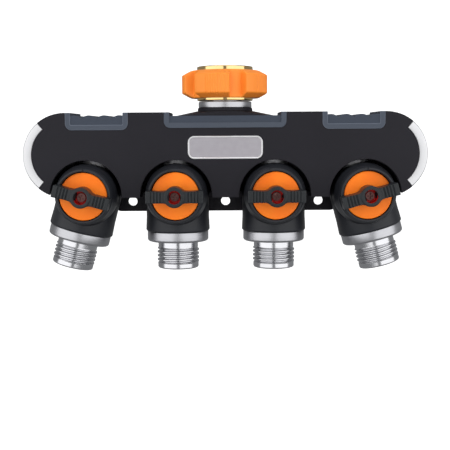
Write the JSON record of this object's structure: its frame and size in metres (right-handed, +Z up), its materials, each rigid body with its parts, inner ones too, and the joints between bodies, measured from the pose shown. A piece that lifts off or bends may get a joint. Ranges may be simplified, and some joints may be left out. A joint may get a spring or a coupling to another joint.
{
  "type": "hose splitter",
  "caption": "Garden hose manifold: a lobed swivel nut feeds a long rounded casing with quarter-turn ball valves and threaded outlets in a row, and a drilled flange for wall fixing.",
  "frame": {"origin": "centre of the swivel nut's open mouth, where the tap enters", "axes": "+Z up out of the inlet, +X along the row of outlets, the knobs face -Y and the flat back faces +Y"},
  "size_m": [0.2504, 0.0693, 0.129],
  "materials": {
    "casing_plastic": "satin moulded black",
    "barrel_plastic": "satin moulded black",
    "lever_plastic": "satin moulded black",
    "grip_rubber": "soft slate blue",
    "trim_silver": "satin silver plating",
    "plate_aluminium": "brushed, with a bright bevel",
    "cast_alloy": "as cast",
    "satin_metal": "turned and plated silver",
    "brass": "turned",
    "nut_brass": "polished",
    "orange_plastic": "satin orange",
    "dial_orange": "satin orange",
    "seal_rubber": "black",
    "seat_plastic": "white, slippery",
    "screw_steel": "blackened",
    "ball_chrome": "polished"
  },
  "bodies": {
    "splitter": {"front_cover": "casing_plastic", "rear_cover": "casing_plastic", "left_end_trim": "trim_silver", "right_end_trim": "trim_silver", "left_grip": "grip_rubber", "middle_grip": "grip_rubber", "right_grip": "grip_rubber", "name_plate": "plate_aluminium", "neck_shroud": "casing_plastic", "manifold": "cast_alloy", "manifold_end_plugs": "brass", "inlet_neck": "satin_metal", "neck_seal": "seal_rubber", "case_screws": "screw_steel", "ball_seats": "seat_plastic", "outlet_seals": "seal_rubber", "stem_glands": "brass", "barrel_1": "barrel_plastic", "barrel_2": "barrel_plastic", "barrel_3": "barrel_plastic", "barrel_4": "barrel_plastic", "outlet_1": "satin_metal", "outlet_2": "satin_metal", "outlet_3": "satin_metal", "outlet_4": "satin_metal"},
    "nut": {"swivel_nut": "nut_brass", "nut_grip": "orange_plastic", "inlet_washer": "seal_rubber"},
    "valve_key_1": {"lever_1": "lever_plastic", "dial_1": "dial_orange", "lever_screw_1": "screw_steel", "stem_1": "brass", "stem_seal_1": "seal_rubber", "ball_1": "ball_chrome"},
    "valve_key_2": {"lever_2": "lever_plastic", "dial_2": "dial_orange", "lever_screw_2": "screw_steel", "stem_2": "brass", "stem_seal_2": "seal_rubber", "ball_2": "ball_chrome"},
    "valve_key_3": {"lever_3": "lever_plastic", "dial_3": "dial_orange", "lever_screw_3": "screw_steel", "stem_3": "brass", "stem_seal_3": "seal_rubber", "ball_3": "ball_chrome"},
    "valve_key_4": {"lever_4": "lever_plastic", "dial_4": "dial_orange", "lever_screw_4": "screw_steel", "stem_4": "brass", "stem_seal_4": "seal_rubber", "ball_4": "ball_chrome"}
  },
  "joints": [
    {"name": "valve_key_1_turn", "type": "hinge", "parent": "splitter", "child": "valve_key_1", "pos_m": [-0.0868, 0, -0.0796], "axis": [0, -1, 0], "range_deg": [0, 90]},
    {"name": "valve_key_2_turn", "type": "hinge", "parent": "splitter", "child": "valve_key_2", "pos_m": [-0.0307, 0, -0.0796], "axis": [0, -1, 0], "range_deg": [0, 90]},
    {"name": "valve_key_3_turn", "type": "hinge", "parent": "splitter", "child": "valve_key_3", "pos_m": [0.0307, 0, -0.0796], "axis": [0, -1, 0], "range_deg": [0, 90]},
    {"name": "valve_key_4_turn", "type": "hinge", "parent": "splitter", "child": "valve_key_4", "pos_m": [0.0868, 0, -0.0796], "axis": [0, 1, 0], "range_deg": [0, 90]},
    {"name": "nut_swivel", "type": "hinge", "parent": "splitter", "child": "nut", "pos_m": [0, 0, -0.0107], "axis": [0, 0, 1], "continuous": true}
  ]
}
